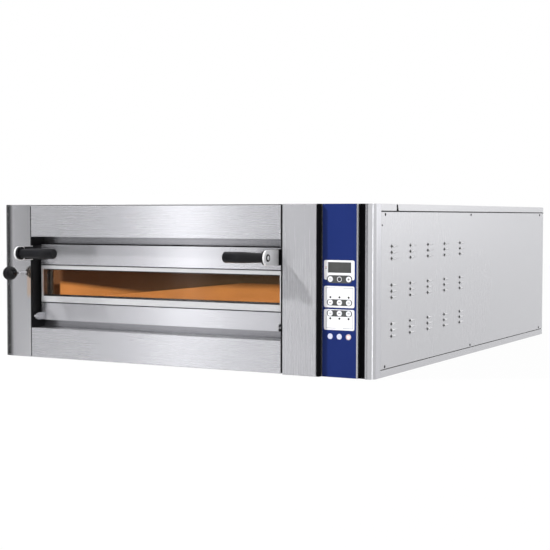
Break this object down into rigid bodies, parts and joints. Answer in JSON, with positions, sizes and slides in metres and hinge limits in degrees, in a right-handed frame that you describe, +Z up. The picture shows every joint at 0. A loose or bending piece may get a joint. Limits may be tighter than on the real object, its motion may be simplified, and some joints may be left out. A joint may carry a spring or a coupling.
{
  "type": "deck oven",
  "caption": "Low stainless countertop deck oven with a bottom-hinged glass door between two inward grips, a firebrick floor, a vent knob and a blue control strip.",
  "frame": {"origin": "centre of the casing's underside, on the surface that the oven stands on", "axes": "+X to the right seen from the front, +Y from the door to the rear, +Z up"},
  "size_m": [1.158, 1.5163, 0.43],
  "materials": {
    "stainless": "satin",
    "polished": "polished",
    "chamber_steel": "satin",
    "element_steel": "matte",
    "black_plastic": "satin",
    "black_paint": "satin",
    "anodised": "satin",
    "blue_film": "satin",
    "key_plastic": "satin",
    "door_glass": "gloss",
    "lamp_glass": "gloss",
    "display_glass": "gloss",
    "firebrick": "matte",
    "rock_wool": "matte",
    "circuit_board": "satin",
    "rope_seal": "matte"
  },
  "bodies": {
    "cabinet": {"base_pan": "stainless", "left_side_panel": "stainless", "right_side_panel": "stainless", "rear_panel": "stainless", "top_cover_front": "stainless", "top_cover_main": "stainless", "top_cover_rear": "stainless", "left_front_post": "stainless", "right_front_pillar": "stainless", "corner_column": "anodised", "upper_fascia": "stainless", "lower_fascia": "stainless", "left_jamb": "black_paint", "right_jamb": "black_paint", "chamber_front_frame": "stainless", "chamber_shell": "chamber_steel", "floor_stone_front": "firebrick", "floor_stone_rear": "firebrick", "lower_element": "element_steel", "upper_element": "element_steel", "insulation_wrap": "rock_wool", "chamber_lamp": "lamp_glass", "flue_duct": "element_steel", "damper_bush": "polished", "hinge_pin_left": "polished", "hinge_pin_right": "polished", "panel_frame": "anodised", "control_membrane": "blue_film", "display_window": "display_glass", "control_board": "circuit_board", "edge_trim_left": "black_plastic", "edge_trim_right": "black_plastic", "fan_housing": "black_plastic", "cable_gland": "black_plastic"},
    "door": {"door_panel": "stainless", "door_liner": "stainless", "outer_glass": "door_glass", "inner_glass": "door_glass", "window_bezel": "polished", "door_gasket": "rope_seal", "handle_bracket_left": "polished", "handle_bracket_right": "polished", "handle_grip_left": "black_plastic", "handle_grip_right": "black_plastic"},
    "damper": {"damper_knob": "black_plastic", "damper_rod": "polished", "damper_blade": "element_steel"},
    "fan": {"fan_rotor": "black_plastic"},
    "key_01_body": {"key_01": "key_plastic"},
    "key_02_body": {"key_02": "key_plastic"},
    "key_03_body": {"key_03": "key_plastic"},
    "key_04_body": {"key_04": "key_plastic"},
    "key_05_body": {"key_05": "key_plastic"},
    "key_06_body": {"key_06": "key_plastic"},
    "key_07_body": {"key_07": "key_plastic"},
    "key_08_body": {"key_08": "key_plastic"},
    "key_09_body": {"key_09": "key_plastic"},
    "key_10_body": {"key_10": "key_plastic"},
    "key_11_body": {"key_11": "key_plastic"},
    "key_12_body": {"key_12": "key_plastic"}
  },
  "joints": [
    {"name": "door_hinge", "type": "hinge", "parent": "cabinet", "child": "door", "pos_m": [-0.08025, -0.685, 0.115], "axis": [1, 0, 0], "range_deg": [0, 90]},
    {"name": "vent_slide", "type": "slide", "parent": "cabinet", "child": "damper", "axis": [0, -1, 0], "range_m": [0, 0.06]},
    {"name": "fan_spin", "type": "hinge", "parent": "cabinet", "child": "fan", "pos_m": [0.46175, 0.6774, 0.21], "axis": [0, 1, 0], "continuous": true},
    {"name": "key_01_press", "type": "slide", "parent": "cabinet", "child": "key_01_body", "axis": [0, 1, 0], "range_m": [0, 0.0005], "stiffness_N_per_m": 600, "springref_m": -0.0004},
    {"name": "key_02_press", "type": "slide", "parent": "cabinet", "child": "key_02_body", "axis": [0, 1, 0], "range_m": [0, 0.0005], "stiffness_N_per_m": 600, "springref_m": -0.0004},
    {"name": "key_03_press", "type": "slide", "parent": "cabinet", "child": "key_03_body", "axis": [0, 1, 0], "range_m": [0, 0.0005], "stiffness_N_per_m": 600, "springref_m": -0.0004},
    {"name": "key_04_press", "type": "slide", "parent": "cabinet", "child": "key_04_body", "axis": [0, 1, 0], "range_m": [0, 0.0005], "stiffness_N_per_m": 600, "springref_m": -0.0004},
    {"name": "key_05_press", "type": "slide", "parent": "cabinet", "child": "key_05_body", "axis": [0, 1, 0], "range_m": [0, 0.0005], "stiffness_N_per_m": 600, "springref_m": -0.0004},
    {"name": "key_06_press", "type": "slide", "parent": "cabinet", "child": "key_06_body", "axis": [0, 1, 0], "range_m": [0, 0.0005], "stiffness_N_per_m": 600, "springref_m": -0.0004},
    {"name": "key_07_press", "type": "slide", "parent": "cabinet", "child": "key_07_body", "axis": [0, 1, 0], "range_m": [0, 0.0005], "stiffness_N_per_m": 600, "springref_m": -0.0004},
    {"name": "key_08_press", "type": "slide", "parent": "cabinet", "child": "key_08_body", "axis": [0, 1, 0], "range_m": [0, 0.0005], "stiffness_N_per_m": 600, "springref_m": -0.0004},
    {"name": "key_09_press", "type": "slide", "parent": "cabinet", "child": "key_09_body", "axis": [0, 1, 0], "range_m": [0, 0.0005], "stiffness_N_per_m": 600, "springref_m": -0.0004},
    {"name": "key_10_press", "type": "slide", "parent": "cabinet", "child": "key_10_body", "axis": [0, 1, 0], "range_m": [0, 0.0005], "stiffness_N_per_m": 600, "springref_m": -0.0004},
    {"name": "key_11_press", "type": "slide", "parent": "cabinet", "child": "key_11_body", "axis": [0, 1, 0], "range_m": [0, 0.0005], "stiffness_N_per_m": 600, "springref_m": -0.0004},
    {"name": "key_12_press", "type": "slide", "parent": "cabinet", "child": "key_12_body", "axis": [0, 1, 0], "range_m": [0, 0.0005], "stiffness_N_per_m": 600, "springref_m": -0.0004}
  ]
}
